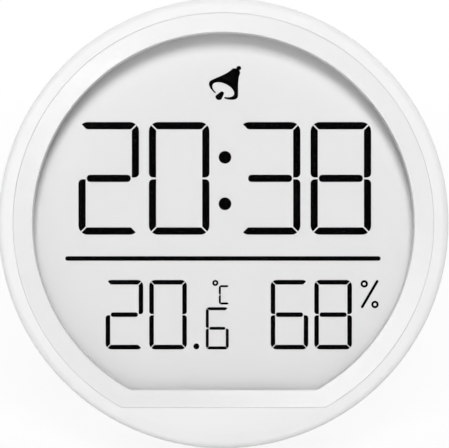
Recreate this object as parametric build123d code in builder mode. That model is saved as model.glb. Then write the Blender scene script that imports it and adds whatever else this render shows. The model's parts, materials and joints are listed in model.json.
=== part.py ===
from build123d import *
import os
from math import acos, atan2, cos, degrees, hypot, radians, sin, tan

os.makedirs("parts", exist_ok=True)

# A round desk clock that shows time, temperature and humidity.
# It leans back on its rim and on a stand that folds out of its back.
# Lengths are millimetres, angles are degrees, depths are counted back from the bezel's front.

# Case
rim_radius = 45.0
case_depth = 25.0
lean = 14.0
wall = 1.8

# Bezel and window, both round with a straight sill below
tier_width = 3.1
bezel_width = 3.85
chin_height = 8.3
sill_width = 3.5
bezel_radius = rim_radius - tier_width
bezel_sill = rim_radius - chin_height
window_radius = bezel_radius - bezel_width
window_sill = bezel_sill - sill_width

# Clearances: snug for glued and located pieces, loose for pieces that move
snug = 0.1
loose = 0.3
overrun = 1.0

# Two AAA cells that lie across the back, their bay and its door
cell_radius = 5.25
cell_length = 44.5
cell_gap = 0.4
door_thickness = 1.5
door_ledge = 1.5
door_gap = 0.25
door_corner = 3.5
contact_thickness = 0.4
spring_room = 3.6
floor_gap = 0.5
bay_wall = 1.2
bay_corner = 1.0
bay_share = 0.29
cell_pitch = 2 * cell_radius + cell_gap
cell_depth = case_depth - door_thickness - loose - cell_radius
bay_floor = cell_depth - cell_radius - floor_gap
bay_length = cell_length + spring_room + loose + 2 * contact_thickness
bay_height = 2 * cell_radius + cell_pitch + 2 * loose
bay_end = bay_length / 2
bay_rise = bay_share * rim_radius
recess_length = bay_length + 2 * door_ledge
recess_height = bay_height + 2 * door_ledge
recess_top = bay_rise + recess_height / 2
block_end = recess_length / 2 + bay_wall
cell_rises = (bay_rise + cell_pitch / 2, bay_rise - cell_pitch / 2)

# Layers from the bezel's front to the board's back share the depth in front of the bay
screw_head_height = 1.1
layer_shares = {
    "ledge": 30,
    "gasket": 3,
    "lens": 10,
    "lens_gap": 2,
    "front_film": 2,
    "front_glass": 11,
    "rear_glass": 11,
    "rear_film": 2,
    "frame_base": 18,
    "board": 10,
}
board_back = bay_floor - bay_wall - screw_head_height
layer_unit = board_back / sum(layer_shares.values())
ledge_depth = layer_unit * layer_shares["ledge"]
gasket_thickness = layer_unit * layer_shares["gasket"]
lens_thickness = layer_unit * layer_shares["lens"]
film_thickness = layer_unit * layer_shares["front_film"]
glass_thickness = layer_unit * layer_shares["front_glass"]
frame_base = layer_unit * layer_shares["frame_base"]
board_thickness = layer_unit * layer_shares["board"]
lens_front = ledge_depth + gasket_thickness
lens_back = lens_front + lens_thickness
film_front = lens_back + layer_unit * layer_shares["lens_gap"]
front_glass_front = film_front + film_thickness
rear_glass_front = front_glass_front + glass_thickness
reflector_front = rear_glass_front + glass_thickness
base_front = reflector_front + film_thickness
board_front = base_front + frame_base

# Stand, hinged low on the back; the leg fills the room between the hinge and the bay
hinge_land = 11.0
barrel_radius = 1.9
pin_radius = 0.8
leg_share = 0.71
leg_thickness = 2.4
flush_gap = 0.2
pocket_side_gap = 0.4
pocket_land = 4.15
hinge_drop = rim_radius - hinge_land
hinge_depth = case_depth - flush_gap - barrel_radius
pocket_top = bay_rise - recess_height / 2 - pocket_land
leg_width = leg_share * rim_radius
leg_length = hinge_drop + pocket_top - pocket_side_gap
leg_offset = barrel_radius - leg_thickness / 2
tip_radius = leg_thickness / 2

# Rounded edges of the case and the seam between its front and its back, where the lip starts
lip_length = 1.7
rim_fillet = 1.5
tier_depth = 0.1
tier_slope = 6.0
back_fillet = 4.0
seam_draft = 0.3
seam_step = 0.1
lip_front = board_back + screw_head_height + loose
seam_depth = lip_front + lip_length
seam_radius = rim_radius - seam_draft
cover_radius = seam_radius - seam_step
flat_radius = cover_radius - back_fillet
inner_radius = rim_radius - wall
rim_centre = rim_radius - rim_fillet
rim_centre_depth = (
    tier_depth
    + (rim_centre - bezel_radius) * tan(radians(tier_slope))
    + rim_fillet / cos(radians(tier_slope))
)

# Lip that plugs the cover into the front housing
lip_gap = 0.1
lip_thickness = 1.1
lip_radius = inner_radius - lip_gap
lip_inner_radius = lip_radius - lip_thickness

# The lean sets how high the face sits and how far the stand opens
lean_sin = sin(radians(lean))
lean_cos = cos(radians(lean))
face_height = flat_radius * lean_cos + (case_depth - back_fillet) * lean_sin + back_fillet
hinge_height = face_height - hinge_drop * lean_cos - hinge_depth * lean_sin
hinge_reach = hinge_depth * lean_cos - hinge_drop * lean_sin
tip_run = leg_length - tip_radius
leg_turn = acos((tip_radius - hinge_height) / hypot(tip_run, leg_offset)) - atan2(leg_offset, tip_run)
leg_sin = sin(leg_turn)
leg_cos = cos(leg_turn)
foot_reach = hinge_reach + tip_run * leg_sin + leg_offset * leg_cos + tip_radius
front_reach = rim_centre * lean_sin - rim_centre_depth * lean_cos + rim_fillet
face_setback = (front_reach - foot_reach) / 2

# Planes: the leaning face, a section through its axle, one across it and two for the open leg
face = Plane(
    origin=(0, face_setback, face_height), x_dir=(1, 0, 0), z_dir=(0, -lean_cos, lean_sin)
)
section = Plane(origin=face.origin, x_dir=(1, 0, 0), z_dir=(0, -lean_sin, -lean_cos))
across = Plane(origin=face.origin, x_dir=(0, lean_sin, lean_cos), z_dir=(1, 0, 0))
hinge_point = (0, face_setback + hinge_reach, hinge_height)
leg_flat = Plane(origin=hinge_point, x_dir=(1, 0, 0), z_dir=(0, -leg_cos, leg_sin))
leg_side = Plane(origin=hinge_point, x_dir=(0, leg_sin, leg_cos), z_dir=(1, 0, 0))
axle = Axis(face.origin, face.z_dir)

print(f"stand opens {degrees(leg_turn) - lean:.4f} degrees from the back")
print(f"hinge at {hinge_point}, face centre at {tuple(face.origin)}")


def level(depth):
    """Plane of the face at a depth behind the bezel's front."""
    return face.offset(-depth)


def d_shape(radius, sill, corner):
    """Round outline with a straight sill below its centre and rounded sill corners."""
    with BuildSketch() as outline:
        Circle(radius)
        with Locations((0, -sill)):
            Rectangle(2 * radius, radius, align=(Align.CENTER, Align.MAX), mode=Mode.SUBTRACT)
        fillet(outline.vertices().group_by(Axis.Y)[0], corner)
    return outline.sketch


def d_plate(radius, sill, corner, front, thickness):
    """Flat plate of the window's shape, from a depth backwards."""
    with BuildPart() as plate:
        with BuildSketch(level(front + thickness)):
            add(d_shape(radius, sill, corner))
        extrude(amount=thickness)
    return plate.part


# Bosses for the board screws stand on the front housing's inner wall, clear of the display
boss_radius = 1.75
boss_bite = 0.15
boss_angles = (50.0, 130.0, 249.0, 291.0)
top_boss_angles = boss_angles[:2]
boss_circle = inner_radius - boss_radius + boss_bite
screw_radius = 0.8
screw_share = 0.85
screw_length = screw_share * (board_front - ledge_depth)
screw_head_radius = 1.4


def on_circle(radius, angles):
    """Points on a circle about the face's centre."""
    return [(radius * cos(radians(a)), radius * sin(radians(a))) for a in angles]


boss_points = on_circle(boss_circle, boss_angles)
top_boss_points = on_circle(boss_circle, top_boss_angles)

# Front housing: flat chin, sloped tier, pocket for the bezel, bosses and pockets for the cover's hooks
corner_radius = 1.6
bezel_fit = 0.04
seat_share = 0.65
bezel_seat = seat_share * ledge_depth
skirt = 1.2
rim_band = 5.0
hook_count = 6
hook_start = 30.0
hook_width = 6.0
hook_height = 1.0
hook_reach = 0.55
hook_pocket_depth = 0.7
hook_front = lip_front + snug
opening_radius = window_radius + skirt + snug
opening_sill = window_sill + skirt + snug

with BuildPart() as front_housing:
    with BuildSketch(section):
        with BuildLine():
            tier_start = (bezel_radius, -tier_depth)
            shoulder = CenterArc((rim_centre, -rim_centre_depth), rim_fillet, 0, 90 - tier_slope)
            Line(tier_start, shoulder @ 1)
            Polyline(
                shoulder @ 0,
                (rim_radius, -rim_band),
                (seam_radius, -seam_depth),
                (inner_radius, -seam_depth),
                (inner_radius, -ledge_depth),
                (0, -ledge_depth),
                (0, -tier_depth),
                tier_start,
            )
        make_face()
    revolve(axis=axle)
    with BuildSketch(level(bezel_seat)):
        add(d_shape(bezel_radius + bezel_fit, bezel_sill + bezel_fit, corner_radius))
    extrude(amount=bezel_seat, mode=Mode.SUBTRACT)
    with BuildSketch(level(ledge_depth)):
        add(d_shape(opening_radius, opening_sill, corner_radius))
    extrude(amount=ledge_depth, mode=Mode.SUBTRACT)
    with BuildSketch(level(board_front)):
        with Locations(*boss_points):
            Circle(boss_radius)
    extrude(amount=board_front - ledge_depth)
    with BuildSketch(level(board_front)):
        with Locations(*boss_points):
            Circle(screw_radius + snug)
    extrude(amount=screw_length, mode=Mode.SUBTRACT)
    with BuildSketch(level(hook_front + hook_height + loose)):
        with PolarLocations(inner_radius, hook_count, start_angle=hook_start):
            Rectangle(2 * hook_pocket_depth, hook_width + 2 * loose)
    extrude(amount=hook_height + 2 * loose, mode=Mode.SUBTRACT)
front_housing.part.label = "front_housing"
export_step(front_housing.part, "parts/front_housing.step")

# Bezel ring: flange in the housing's pocket and a skirt down to the lens
bezel_round = 0.08
bezel_bevel = 0.1

with BuildPart() as bezel_ring:
    with BuildSketch(level(bezel_seat)):
        add(d_shape(bezel_radius, bezel_sill, corner_radius))
    extrude(amount=bezel_seat)
    with BuildSketch(level(ledge_depth - snug)):
        add(d_shape(window_radius + skirt, window_sill + skirt, corner_radius))
    extrude(amount=ledge_depth - snug)
    with BuildSketch(level(ledge_depth)):
        add(d_shape(window_radius, window_sill, corner_radius))
    extrude(amount=ledge_depth, mode=Mode.SUBTRACT)
    front_edge = bezel_ring.faces().sort_by(axle)[-1].outer_wire().edges()
    fillet(front_edge, bezel_round)
    window_edge = bezel_ring.faces().sort_by(axle)[-1].inner_wires()[0].edges()
    chamfer(window_edge, bezel_bevel)
bezel_ring.part.label = "bezel_ring"
export_step(bezel_ring.part, "parts/bezel_ring.step")

# Lens and the gasket that glues it to the ledge, both notched round the upper bosses
lens_margin = 2.3
lens_sill_margin = 2.4
gasket_inset = 0.6
lens_radius = window_radius + lens_margin
lens_sill = window_sill + lens_sill_margin

with BuildPart() as lens_gasket:
    with BuildSketch(level(lens_front)):
        add(d_shape(lens_radius, lens_sill, corner_radius))
        add(
            d_shape(window_radius + gasket_inset, window_sill + gasket_inset, corner_radius),
            mode=Mode.SUBTRACT,
        )
        with Locations(*top_boss_points):
            Circle(boss_radius + snug, mode=Mode.SUBTRACT)
    extrude(amount=gasket_thickness)
lens_gasket.part.label = "lens_gasket"
export_step(lens_gasket.part, "parts/lens_gasket.step")

with BuildPart() as lens:
    with BuildSketch(level(lens_back)):
        add(d_shape(lens_radius, lens_sill, corner_radius))
        with Locations(*top_boss_points):
            Circle(boss_radius + snug, mode=Mode.SUBTRACT)
    extrude(amount=lens_thickness)
lens.part.label = "lens"
export_step(lens.part, "parts/lens.step")

# Display: two films and two glasses, the front glass longer at the sill to carry the contacts
film_margin = 0.6
glass_margin = 1.0
contact_ledge = 2.0
glass_radius = window_radius + glass_margin
rear_glass_sill = window_sill + glass_margin
front_glass_sill = rear_glass_sill + contact_ledge
film_radius = window_radius + film_margin
film_sill = window_sill + film_margin

with BuildPart() as front_polarizer:
    add(d_plate(film_radius, film_sill, corner_radius, film_front, film_thickness))
front_polarizer.part.label = "front_polarizer"
export_step(front_polarizer.part, "parts/front_polarizer.step")

with BuildPart() as display_front_glass:
    add(d_plate(glass_radius, front_glass_sill, corner_radius, front_glass_front, glass_thickness))
display_front_glass.part.label = "display_front_glass"
export_step(display_front_glass.part, "parts/display_front_glass.step")

with BuildPart() as display_rear_glass:
    add(d_plate(glass_radius, rear_glass_sill, corner_radius, rear_glass_front, glass_thickness))
display_rear_glass.part.label = "display_rear_glass"
export_step(display_rear_glass.part, "parts/display_rear_glass.step")

with BuildPart() as rear_reflector:
    add(d_plate(film_radius, film_sill, corner_radius, reflector_front, film_thickness))
rear_reflector.part.label = "rear_reflector"
export_step(rear_reflector.part, "parts/rear_reflector.step")

# Display frame: a rim round the glass and a base that spaces it from the board
frame_gap = 0.3
frame_opening_inset = 4.5
frame_radius = inner_radius - frame_gap
strip_length = 30.0
strip_thickness = 1.4
strip_drop = rear_glass_sill + contact_ledge / 2
boss_clearance = 0.2

with BuildPart() as display_frame:
    with BuildSketch(level(board_front)):
        Circle(frame_radius)
        add(
            d_shape(
                window_radius - frame_opening_inset,
                window_sill - frame_opening_inset,
                corner_radius,
            ),
            mode=Mode.SUBTRACT,
        )
        with Locations(*boss_points):
            Circle(boss_radius + boss_clearance, mode=Mode.SUBTRACT)
        with Locations((0, -strip_drop)):
            Rectangle(strip_length + 2 * snug, strip_thickness + 2 * snug, mode=Mode.SUBTRACT)
    extrude(amount=frame_base)
    with BuildSketch(level(base_front)):
        Circle(frame_radius)
        add(
            d_shape(glass_radius + boss_clearance, front_glass_sill + boss_clearance, corner_radius),
            mode=Mode.SUBTRACT,
        )
        with Locations(*boss_points):
            Circle(boss_radius + boss_clearance, mode=Mode.SUBTRACT)
    extrude(amount=base_front - film_front)
display_frame.part.label = "display_frame"
export_step(display_frame.part, "parts/display_frame.step")

# Elastomer strip that joins the display's contact ledge to the board
with BuildPart() as contact_strip:
    with BuildSketch(level(board_front)):
        with Locations((0, -strip_drop)):
            Rectangle(strip_length, strip_thickness)
    extrude(amount=board_front - rear_glass_front)
contact_strip.part.label = "contact_strip"
export_step(contact_strip.part, "parts/contact_strip.step")

# Circuit board on the bosses
board_gap = 0.2

with BuildPart() as main_board:
    with BuildSketch(level(board_back)):
        Circle(inner_radius - board_gap)
        with Locations(*boss_points):
            Circle(screw_radius + snug, mode=Mode.SUBTRACT)
    extrude(amount=board_thickness)
main_board.part.label = "main_board"
export_step(main_board.part, "parts/main_board.step")

# Four board screws with rounded heads
screw_reach = screw_length - loose

with BuildPart() as board_screws:
    with BuildSketch(level(board_back)):
        with Locations(*boss_points):
            Circle(screw_radius)
    extrude(amount=board_thickness + screw_reach)
    with BuildSketch(level(board_back + screw_head_height)):
        with Locations(*boss_points):
            Circle(screw_head_radius)
    extrude(amount=screw_head_height)
    fillet(board_screws.edges().group_by(axle)[0], screw_head_height / 2)
board_screws.part.label = "board_screws"
export_step(board_screws.part, "parts/board_screws.step")

# Chip under a drop of black resin
chip_radius = 5.5
chip_height = 1.3
chip_share = 0.42
chip_drop = chip_share * rim_radius

with BuildPart() as chip_blob:
    with BuildSketch(level(board_back + chip_height)):
        with Locations((0, -chip_drop)):
            Circle(chip_radius)
    extrude(amount=chip_height)
    fillet(chip_blob.edges().group_by(axle)[0], chip_height - snug)
chip_blob.part.label = "chip_blob"
export_step(chip_blob.part, "parts/chip_blob.step")

# Clock crystal, a small can that lies on the board
crystal_radius = 1.0
crystal_length = 6.0
crystal_place = 10.0

with BuildPart() as quartz_crystal:
    with BuildSketch(section.offset(chip_drop - crystal_length / 2)):
        with Locations((crystal_place, -board_back - crystal_radius)):
            Circle(crystal_radius)
    extrude(amount=crystal_length)
quartz_crystal.part.label = "quartz_crystal"
export_step(quartz_crystal.part, "parts/quartz_crystal.step")

# Resistors and capacitors beside the chip
passive_length = 1.6
passive_width = 0.8
passive_height = 0.6
passive_pitch = 2.4
passive_rows = 4
passive_columns = 2

with BuildPart() as board_passives:
    with BuildSketch(level(board_back + passive_height)):
        with Locations((-crystal_place, -chip_drop)):
            with GridLocations(passive_pitch, passive_pitch, passive_columns, passive_rows):
                Rectangle(passive_length, passive_width)
    extrude(amount=passive_height)
board_passives.part.label = "board_passives"
export_step(board_passives.part, "parts/board_passives.step")

# Buzzer on one side of the battery bay and the climate sensor on the other
side_room = lip_inner_radius - block_end
place_share = 0.33
rise_share = 0.2
buzzer_share = 0.3
hole_share = 0.22
side_place = block_end + place_share * side_room
side_rise = rise_share * rim_radius
buzzer_radius = buzzer_share * side_room
buzzer_hole = hole_share * buzzer_radius
buzzer_height = 5.0
sensor_size = 3.0
sensor_height = 1.0
sensor_port = 0.8

with BuildPart() as buzzer:
    with BuildSketch(level(board_back + buzzer_height)):
        with Locations((side_place, side_rise)):
            Circle(buzzer_radius)
            Circle(buzzer_hole, mode=Mode.SUBTRACT)
    extrude(amount=buzzer_height)
buzzer.part.label = "buzzer"
export_step(buzzer.part, "parts/buzzer.step")

with BuildPart() as climate_sensor:
    with BuildSketch(level(board_back + sensor_height)):
        with Locations((-side_place, side_rise)):
            Rectangle(sensor_size, sensor_size)
    extrude(amount=sensor_height)
    with BuildSketch(level(board_back + sensor_height)):
        with Locations((-side_place, side_rise)):
            Circle(sensor_port)
    extrude(amount=sensor_height / 2, mode=Mode.SUBTRACT)
climate_sensor.part.label = "climate_sensor"
export_step(climate_sensor.part, "parts/climate_sensor.step")

# Four push buttons, two on each side of the stand, each over its own tact switch
button_share = 0.6111
button_drop_shares = (0.2, 0.4444)
button_place = button_share * rim_radius
button_length = 8.0
button_width = 4.6
button_gap = 0.2
button_stand_out = 0.6
button_travel = 0.3
flange_margin = 0.7
flange_height = 0.8
stem_radius = 1.5
switch_size = 6.0
switch_corner = 0.6
switch_height = 3.5
plunger_radius = 1.7
plunger_gap = 0.1
plunger_length = 1.7
switch_back = board_back + switch_height
plunger_back = switch_back + button_travel + loose + loose
flange_back = case_depth - wall - snug
button_points = [
    (side * button_place, -share * rim_radius) for side in (-1, 1) for share in button_drop_shares
]

with BuildPart() as switch_bodies:
    with BuildSketch(level(switch_back)):
        with Locations(*button_points):
            RectangleRounded(switch_size, switch_size, switch_corner)
    extrude(amount=switch_height)
    with BuildSketch(level(switch_back)):
        with Locations(*button_points):
            Circle(plunger_radius + plunger_gap)
    extrude(amount=plunger_length, mode=Mode.SUBTRACT)
switch_bodies.part.label = "switch_bodies"
export_step(switch_bodies.part, "parts/switch_bodies.step")

for number, point in enumerate(button_points, start=1):
    with BuildPart() as plunger:
        with BuildSketch(level(plunger_back)):
            with Locations(point):
                Circle(plunger_radius)
        extrude(amount=plunger_length)
    plunger.part.label = f"switch_plunger_{number}"
    export_step(plunger.part, f"parts/switch_plunger_{number}.step")

    with BuildPart() as button_cap:
        with BuildSketch(level(case_depth + button_stand_out)):
            with Locations(point):
                SlotOverall(button_length, button_width)
        extrude(amount=case_depth + button_stand_out - flange_back)
        fillet(button_cap.edges().group_by(axle)[0], button_stand_out / 2)
        with BuildSketch(level(flange_back)):
            with Locations(point):
                SlotOverall(button_length + 2 * flange_margin, button_width + 2 * flange_margin)
        extrude(amount=flange_height)
        with BuildSketch(level(flange_back)):
            with Locations(point):
                Circle(stem_radius)
        extrude(amount=flange_back - plunger_back)
    button_cap.part.label = f"button_cap_{number}"
    export_step(button_cap.part, f"parts/button_cap_{number}.step")

# Battery bay details
door_seat = door_thickness + snug
cradle_place = 12.0
cradle_thickness = 1.2
cradle_height = 3.6
tail_width = 2.0

# Stand pocket sizes
pocket_gap = 0.4
pocket_side_wall = 2.4
pocket_floor_wall = 1.4
pin_grip = 2.0
pin_gap = 0.02
pocket_width = leg_width + 2 * pocket_side_gap
pocket_floor = hinge_depth + barrel_radius - leg_thickness - pocket_gap
pocket_bottom = -hinge_drop - barrel_radius - loose
barrel_floor = hinge_depth - barrel_radius - loose
barrel_top = -hinge_drop + barrel_radius + loose
notch_width = 12.0
notch_height = 2.2

# Keyhole, in the room between the bay and the cover's rounded edge
top_room = flat_radius - recess_top
keyhole_share = 0.266
slot_share = 0.133
travel_share = 0.345
land_share = 0.136
keyhole_radius = keyhole_share * top_room
keyhole_slot = slot_share * top_room
keyhole_travel = travel_share * top_room
keyhole_rise = recess_top + land_share * top_room + keyhole_radius
keyhole_room = 2.6
keyhole_wall = 1.2

# Vents over the sensor and sound holes over the buzzer
vent_share = 0.48
vent_length = vent_share * side_room
vent_width = 1.3
vent_pitch = 2.6
vent_count = 5
sound_share = 0.16
circle_share = 0.63
sound_radius = sound_share * buzzer_radius
sound_circle = circle_share * buzzer_radius
sound_count = 6

# Inside of the cover and the reveal at its seam
reveal = 0.3
reveal_depth = 0.5
cover_inner_radius = cover_radius - wall
back_inside = case_depth - wall
cover_side = case_depth - back_fillet

# Back cover: shell, then blocks inside it, then what is cut from outside
with BuildPart() as back_cover:
    with BuildSketch(section):
        with BuildLine():
            outer_round = CenterArc((flat_radius, -cover_side), back_fillet, 0, -90)
            inner_round = CenterArc((flat_radius, -cover_side), back_fillet - wall, 0, -90)
            Polyline(
                outer_round @ 0,
                (cover_radius, -seam_depth - reveal),
                (cover_radius - reveal_depth, -seam_depth - reveal),
                (cover_radius - reveal_depth, -seam_depth),
                (lip_radius, -seam_depth),
                (lip_radius, -lip_front),
                (lip_inner_radius, -lip_front),
                (lip_inner_radius, -seam_depth),
                (cover_inner_radius, -seam_depth - wall),
                inner_round @ 0,
            )
            Polyline(inner_round @ 1, (0, -back_inside), (0, -case_depth), outer_round @ 1)
        make_face()
    revolve(axis=axle)
    with BuildSketch(level(hook_front + hook_height)):
        with PolarLocations(lip_radius, hook_count, start_angle=hook_start):
            Rectangle(2 * hook_reach, hook_width)
    extrude(amount=hook_height)

    # Bay block
    with BuildSketch(level(back_inside)):
        with Locations((0, bay_rise)):
            RectangleRounded(
                recess_length + 2 * bay_wall, recess_height + 2 * bay_wall, door_corner
            )
    extrude(amount=back_inside - bay_floor + bay_wall)

    # Stand pocket block, deeper round the hinge barrel
    with BuildSketch(level(back_inside)):
        with Locations((0, pocket_top + pocket_floor_wall)):
            Rectangle(
                pocket_width + 2 * pocket_side_wall,
                pocket_top - pocket_bottom + 2 * pocket_floor_wall,
                align=(Align.CENTER, Align.MAX),
            )
    extrude(amount=back_inside - pocket_floor + pocket_floor_wall)
    with BuildSketch(level(back_inside)):
        with Locations((0, barrel_top + pocket_floor_wall)):
            Rectangle(
                pocket_width + 2 * pocket_side_wall,
                barrel_top - pocket_bottom + 2 * pocket_floor_wall,
                align=(Align.CENTER, Align.MAX),
            )
    extrude(amount=back_inside - barrel_floor + pocket_floor_wall)

    # Keyhole block
    with BuildSketch(level(back_inside)):
        with Locations((0, keyhole_rise - keyhole_radius - keyhole_wall)):
            Rectangle(
                2 * (keyhole_radius + loose + keyhole_wall),
                keyhole_radius + keyhole_travel + keyhole_slot + 2 * keyhole_wall,
                align=(Align.CENTER, Align.MIN),
            )
    extrude(amount=keyhole_room + keyhole_wall)

    # Sleeves that guide the button flanges
    with BuildSketch(level(back_inside)):
        with Locations(*button_points):
            SlotOverall(
                button_length + 2 * (flange_margin + loose + bay_wall),
                button_width + 2 * (flange_margin + loose + bay_wall),
            )
    extrude(amount=flange_height + button_travel + bay_wall)
    with BuildSketch(level(back_inside)):
        with Locations(*button_points):
            SlotOverall(
                button_length + 2 * (flange_margin + loose),
                button_width + 2 * (flange_margin + loose),
            )
    extrude(amount=flange_height + button_travel + bay_wall, mode=Mode.SUBTRACT)

    # Bay and door recess
    with BuildSketch(level(case_depth)):
        with Locations((0, bay_rise)):
            RectangleRounded(bay_length, bay_height, bay_corner)
    extrude(amount=case_depth - bay_floor, mode=Mode.SUBTRACT)
    with BuildSketch(level(case_depth)):
        with Locations((0, bay_rise)):
            RectangleRounded(recess_length, recess_height, door_corner)
    extrude(amount=door_seat, mode=Mode.SUBTRACT)

    # Cradles that hold the cells up from the bay's floor
    for place in (-cradle_place, cradle_place):
        with BuildSketch(across.offset(place - cradle_thickness / 2)):
            with Locations((bay_rise, -bay_floor + floor_gap)):
                Rectangle(
                    bay_height, cradle_height + floor_gap, align=(Align.CENTER, Align.MAX)
                )
            with Locations(*[(rise, -cell_depth) for rise in cell_rises]):
                Circle(cell_radius + loose, mode=Mode.SUBTRACT)
        extrude(amount=cradle_thickness)

    # Slots for the contact tails
    with BuildSketch(level(bay_floor)):
        with Locations(*[(bay_end - contact_thickness / 2, rise) for rise in cell_rises]):
            Rectangle(contact_thickness + 2 * snug, tail_width + 2 * snug)
    extrude(amount=bay_wall + overrun, mode=Mode.SUBTRACT)

    # Stand pocket, barrel well, finger notch and pin holes
    with BuildSketch(level(case_depth)):
        with Locations((0, pocket_top)):
            Rectangle(pocket_width, pocket_top - pocket_bottom, align=(Align.CENTER, Align.MAX))
        with Locations((0, pocket_top)):
            Rectangle(notch_width, notch_height, align=(Align.CENTER, Align.MIN))
    extrude(amount=case_depth - pocket_floor, mode=Mode.SUBTRACT)
    with BuildSketch(level(case_depth)):
        with Locations((0, barrel_top)):
            Rectangle(pocket_width, barrel_top - pocket_bottom, align=(Align.CENTER, Align.MAX))
    extrude(amount=case_depth - barrel_floor, mode=Mode.SUBTRACT)
    with BuildSketch(across):
        with Locations((-hinge_drop, -hinge_depth)):
            Circle(pin_radius + pin_gap)
    extrude(amount=pocket_width / 2 + pin_grip + pin_gap, both=True, mode=Mode.SUBTRACT)

    # Keyhole and the room behind it
    with BuildSketch(level(back_inside)):
        with Locations((0, keyhole_rise - keyhole_radius)):
            Rectangle(
                2 * (keyhole_radius + loose),
                keyhole_radius + keyhole_travel + keyhole_slot,
                align=(Align.CENTER, Align.MIN),
            )
    extrude(amount=keyhole_room, mode=Mode.SUBTRACT)
    with BuildSketch(level(case_depth)):
        with Locations((0, keyhole_rise)):
            Circle(keyhole_radius)
        with Locations((0, keyhole_rise + keyhole_travel / 2)):
            SlotCenterToCenter(keyhole_travel, 2 * keyhole_slot, rotation=90)
    extrude(amount=wall, mode=Mode.SUBTRACT)

    # Button holes, vents over the sensor and sound holes over the buzzer
    with BuildSketch(level(case_depth)):
        with Locations(*button_points):
            SlotOverall(button_length + 2 * button_gap, button_width + 2 * button_gap)
        with Locations((-side_place, side_rise)):
            with GridLocations(0, vent_pitch, 1, vent_count):
                SlotOverall(vent_length, vent_width)
        with Locations((side_place, side_rise)):
            Circle(sound_radius)
            with PolarLocations(sound_circle, sound_count):
                Circle(sound_radius)
    extrude(amount=wall, mode=Mode.SUBTRACT)
back_cover.part.label = "back_cover"
export_step(back_cover.part, "parts/back_cover.step")

# Battery door with a latch tongue between two slits and a ribbed thumb patch
tongue_width = 9.0
tongue_length = 6.5
slit = 0.6
patch_radius = 4.5
patch_depth = 0.5
ridge_width = 0.6
ridge_pitch = 1.6
ridge_count = 4
door_length = recess_length - 2 * door_gap
door_height = recess_height - 2 * door_gap
door_top = bay_rise + door_height / 2

with BuildPart() as battery_door:
    with BuildSketch(level(case_depth)):
        with Locations((0, bay_rise)):
            RectangleRounded(door_length, door_height, door_corner - door_gap)
        with Locations((0, door_top)):
            with GridLocations(tongue_width + slit, 0, 2, 1):
                Rectangle(slit, 2 * tongue_length, mode=Mode.SUBTRACT)
    extrude(amount=door_thickness)
    with BuildSketch(level(case_depth)):
        with Locations((0, door_top - tongue_length - patch_radius - slit)):
            Circle(patch_radius)
            with GridLocations(0, ridge_pitch, 1, ridge_count):
                Rectangle(2 * patch_radius, ridge_width, mode=Mode.SUBTRACT)
    extrude(amount=patch_depth, mode=Mode.SUBTRACT)
battery_door.part.label = "battery_door"
export_step(battery_door.part, "parts/battery_door.step")

# Two AAA cells, the upper one with its cap to the right and the lower one to the left
cap_radius = 1.9
cap_height = 1.0
cell_round = 0.6
cell_tip = bay_end - contact_thickness - loose


def build_cell(side, rise):
    """Cell turned about its own axis, with its cap towards the given side."""
    tip = side * cell_tip
    shoulder = side * (cell_tip - cap_height)
    foot = side * (cell_tip - cell_length)
    neck = side * (cell_tip - cap_height - cell_round)
    heel = side * (cell_tip - cell_length + cell_round)
    with BuildPart() as cell:
        with BuildSketch(level(cell_depth)):
            with BuildLine():
                Polyline(
                    (tip, rise),
                    (tip, rise + cap_radius),
                    (shoulder, rise + cap_radius),
                    (shoulder, rise + cell_radius - cell_round),
                    (neck, rise + cell_radius),
                    (heel, rise + cell_radius),
                    (foot, rise + cell_radius - cell_round),
                    (foot, rise),
                    close=True,
                )
            make_face()
        centre = level(cell_depth).from_local_coords((0, rise, 0))
        revolve(axis=Axis(centre, (1, 0, 0)))
    return cell.part


with BuildPart() as cell_upper:
    add(build_cell(1, cell_rises[0]))
cell_upper.part.label = "cell_upper"
export_step(cell_upper.part, "parts/cell_upper.step")

with BuildPart() as cell_lower:
    add(build_cell(-1, cell_rises[1]))
cell_lower.part.label = "cell_lower"
export_step(cell_lower.part, "parts/cell_lower.step")

# Battery contacts: plates on the bay's end walls, bowed leaf springs and tails to the board
plate_width = 8.0
plate_height = 8.4
leaf_width = 4.0
leaf_half = 4.0
leaf_reach = spring_room - snug
leaf_foot = 0.6
plate_front = bay_floor + snug


def contact_plate(rise, width):
    """Outline of a plate seen along the cells, standing on the bay's floor."""
    with BuildSketch() as outline:
        with Locations((rise, -plate_front)):
            Rectangle(width, plate_height, align=(Align.CENTER, Align.MAX))
    return outline.sketch


def leaf_profile(side):
    """Bowed strip between the plate and the cell's flat end."""
    plate = side * (bay_end - contact_thickness)
    crest = side * (bay_end - contact_thickness - leaf_reach)
    inner_crest = side * (bay_end - contact_thickness - leaf_reach + contact_thickness)
    with BuildSketch() as outline:
        with BuildLine():
            outer = ThreePointArc(
                (plate, -cell_depth - leaf_half),
                (crest, -cell_depth),
                (plate, -cell_depth + leaf_half),
            )
            inner = ThreePointArc(
                (plate, -cell_depth - leaf_half + leaf_foot),
                (inner_crest, -cell_depth),
                (plate, -cell_depth + leaf_half - leaf_foot),
            )
            Line(outer @ 0, inner @ 0)
            Line(outer @ 1, inner @ 1)
        make_face()
    return outline.sketch


with BuildPart() as contact_positive:
    with BuildSketch(across.offset(bay_end - contact_thickness)):
        add(contact_plate(cell_rises[0], plate_width))
        with Locations((cell_rises[0], -board_back)):
            Rectangle(tail_width, plate_front - board_back, align=(Align.CENTER, Align.MAX))
    extrude(amount=contact_thickness)
contact_positive.part.label = "contact_positive"
export_step(contact_positive.part, "parts/contact_positive.step")

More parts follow.
